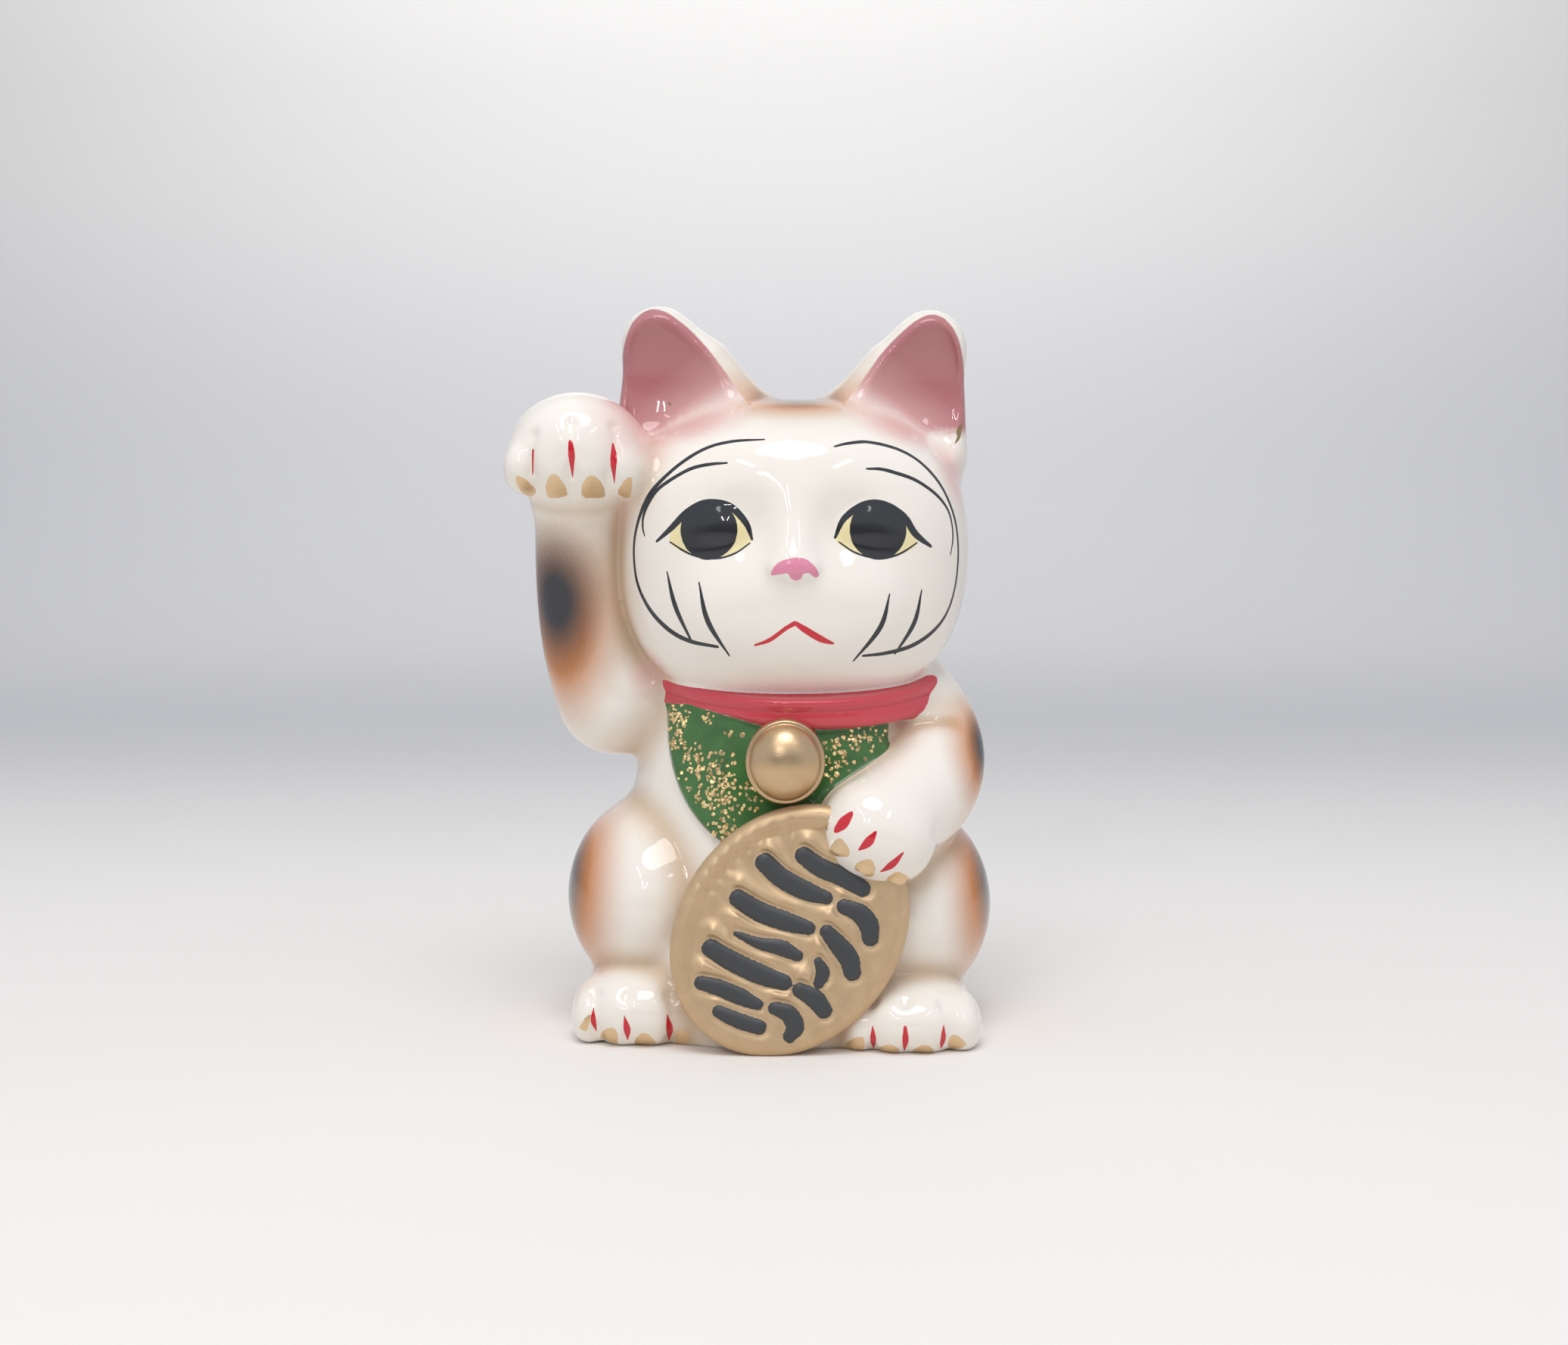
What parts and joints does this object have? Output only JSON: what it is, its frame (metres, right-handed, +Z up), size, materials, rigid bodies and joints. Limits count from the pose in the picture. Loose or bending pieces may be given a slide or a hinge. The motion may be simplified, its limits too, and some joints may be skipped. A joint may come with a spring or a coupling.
{
  "type": "lucky cat coin bank",
  "caption": "Hollow glazed ceramic cat that sits upright and beckons with a raised paw, holding an oval coin, with a coin slot in its back and a stopper in its base.",
  "frame": {"origin": "centre of the footprint box, on the floor that the bank stands on", "axes": "+Z up through the head, the cat looks along -Y, its raised paw is on the -X side"},
  "size_m": [0.1205, 0.1027, 0.1802],
  "materials": {
    "glazed_ceramic": "slip-cast ceramic under a glossy clear glaze, airbrushed orange and black patches, pink ears, red collar, green bib with gold flakes, satin gold bell and coin",
    "stopper_rubber": "matt moulded rubber"
  },
  "bodies": {
    "root": {"cat_bank": "glazed_ceramic", "base_stopper": "stopper_rubber"}
  },
  "joints": []
}
